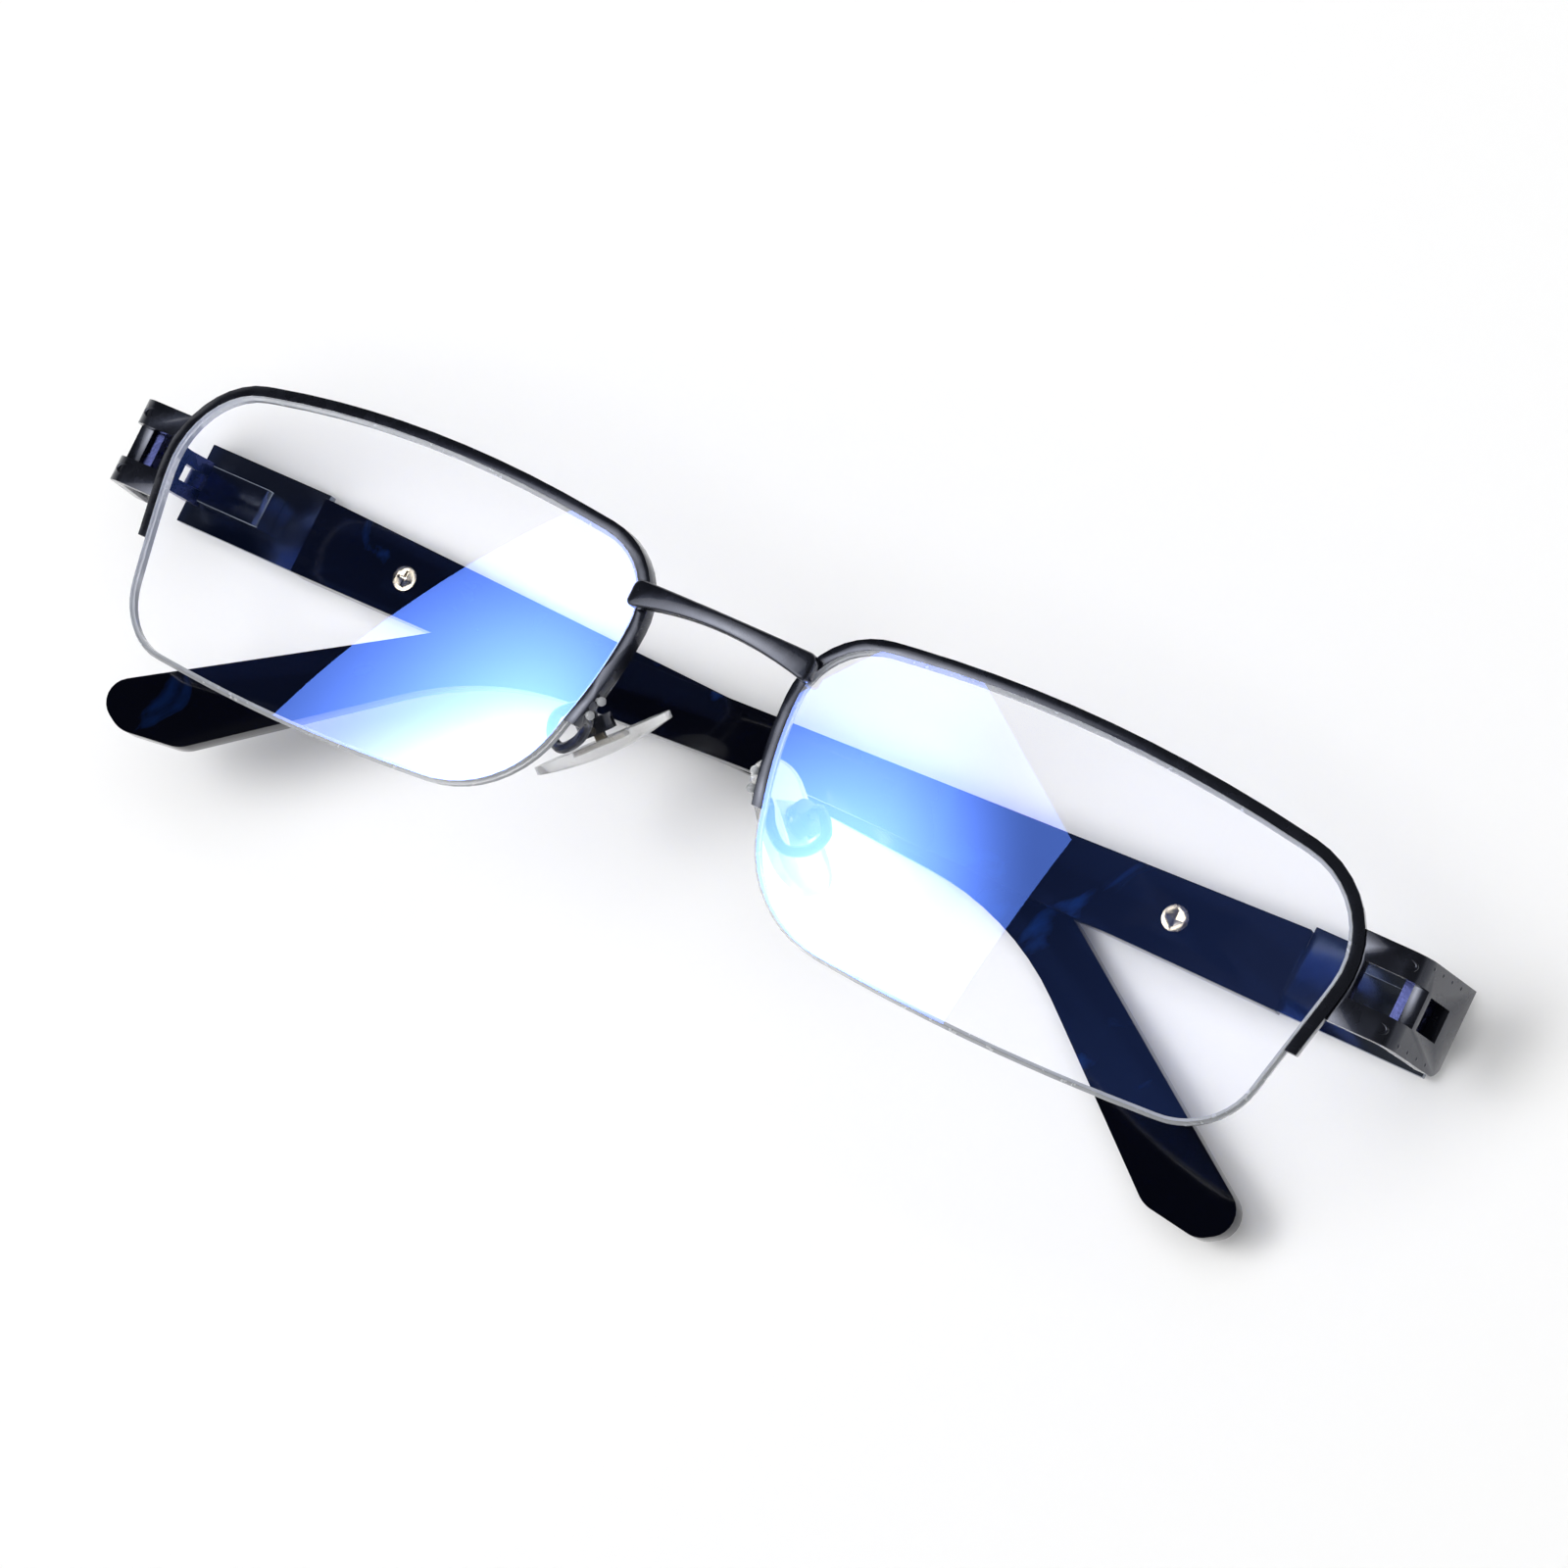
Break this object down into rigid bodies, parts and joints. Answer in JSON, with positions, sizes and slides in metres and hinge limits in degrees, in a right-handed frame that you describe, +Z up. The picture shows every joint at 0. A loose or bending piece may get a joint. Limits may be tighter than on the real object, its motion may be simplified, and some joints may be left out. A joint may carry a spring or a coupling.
{
  "type": "half-rim reading glasses",
  "caption": "Half-rim metal reading glasses with rectangular lenses, adjustable nose pads and sprung temples of metal and acetate, stored folded.",
  "frame": {"origin": "middle of the footprint, on the table under the folded glasses", "axes": "+Z up out of the lens fronts, +Y to the top of the frame, +X to the wearer's left"},
  "size_m": [0.1368, 0.0354, 0.0259],
  "materials": {
    "front_metal": "gloss dark navy coating on nickel alloy",
    "plate_metal": "satin gunmetal coating on nickel alloy",
    "hinge_metal": "satin dark coating on nickel silver",
    "screw_metal": "polished nickel",
    "spring_steel": "bright drawn wire",
    "acetate": "polished navy acetate with blue marbling",
    "lens": "clear plastic with a blue anti-reflection coating",
    "nylon": "clear nylon",
    "silicone": "clear silicone"
  },
  "bodies": {
    "front": {"bridge": "front_metal", "rim_left": "front_metal", "lens_left": "lens", "rim_liner_left": "nylon", "nylon_line_left": "nylon", "end_piece_left": "front_metal", "hinge_leaf_left": "hinge_metal", "hinge_screw_left": "screw_metal", "pad_arm_left": "front_metal", "pad_box_left": "front_metal", "pad_screw_left": "screw_metal", "rim_right": "front_metal", "lens_right": "lens", "rim_liner_right": "nylon", "nylon_line_right": "nylon", "end_piece_right": "front_metal", "hinge_leaf_right": "hinge_metal", "hinge_screw_right": "screw_metal", "pad_arm_right": "front_metal", "pad_box_right": "front_metal", "pad_screw_right": "screw_metal"},
    "nose_pad_left_body": {"nose_pad_left": "silicone", "pad_insert_left": "screw_metal"},
    "hinge_insert_left_body": {"hinge_insert_left": "screw_metal", "hinge_spring_left": "spring_steel"},
    "temple_left_body": {"spring_housing_left": "plate_metal", "temple_plate_left": "plate_metal", "temple_arm_left": "acetate", "arm_screw_left": "screw_metal"},
    "nose_pad_right_body": {"nose_pad_right": "silicone", "pad_insert_right": "screw_metal"},
    "hinge_insert_right_body": {"hinge_insert_right": "screw_metal", "hinge_spring_right": "spring_steel"},
    "temple_right_body": {"spring_housing_right": "plate_metal", "temple_plate_right": "plate_metal", "temple_arm_right": "acetate", "arm_screw_right": "screw_metal"}
  },
  "joints": [
    {"name": "temple_fold_left", "type": "hinge", "parent": "front", "child": "hinge_insert_left_body", "pos_m": [0.065, 0.0068, 0.0039], "axis": [0, -1, 0], "range_deg": [0, 98]},
    {"name": "spring_slide_left", "type": "slide", "parent": "hinge_insert_left_body", "child": "temple_left_body", "axis": [-0.9973, 0, 0.0732], "range_m": [0, 0.0012], "stiffness_N_per_m": 700, "springref_m": -0.0008, "deforming": ["hinge_spring_left"]},
    {"name": "nose_pad_rock_left", "type": "hinge", "parent": "front", "child": "nose_pad_left_body", "pos_m": [0.01072, 0.00005, 0.01595], "axis": [-0.2782, -0.2744, 0.9205], "range_deg": [-5, 5]},
    {"name": "temple_fold_right", "type": "hinge", "parent": "front", "child": "hinge_insert_right_body", "pos_m": [-0.065, 0.0068, 0.0039], "axis": [0, 1, 0], "range_deg": [0, 94]},
    {"name": "spring_slide_right", "type": "slide", "parent": "hinge_insert_right_body", "child": "temple_right_body", "axis": [1, 0, 0], "range_m": [0, 0.0012], "stiffness_N_per_m": 700, "springref_m": -0.0008, "deforming": ["hinge_spring_right"]},
    {"name": "nose_pad_rock_right", "type": "hinge", "parent": "front", "child": "nose_pad_right_body", "pos_m": [-0.01072, 0.00005, 0.01595], "axis": [0.2782, -0.2744, 0.9205], "range_deg": [-5, 5]}
  ]
}
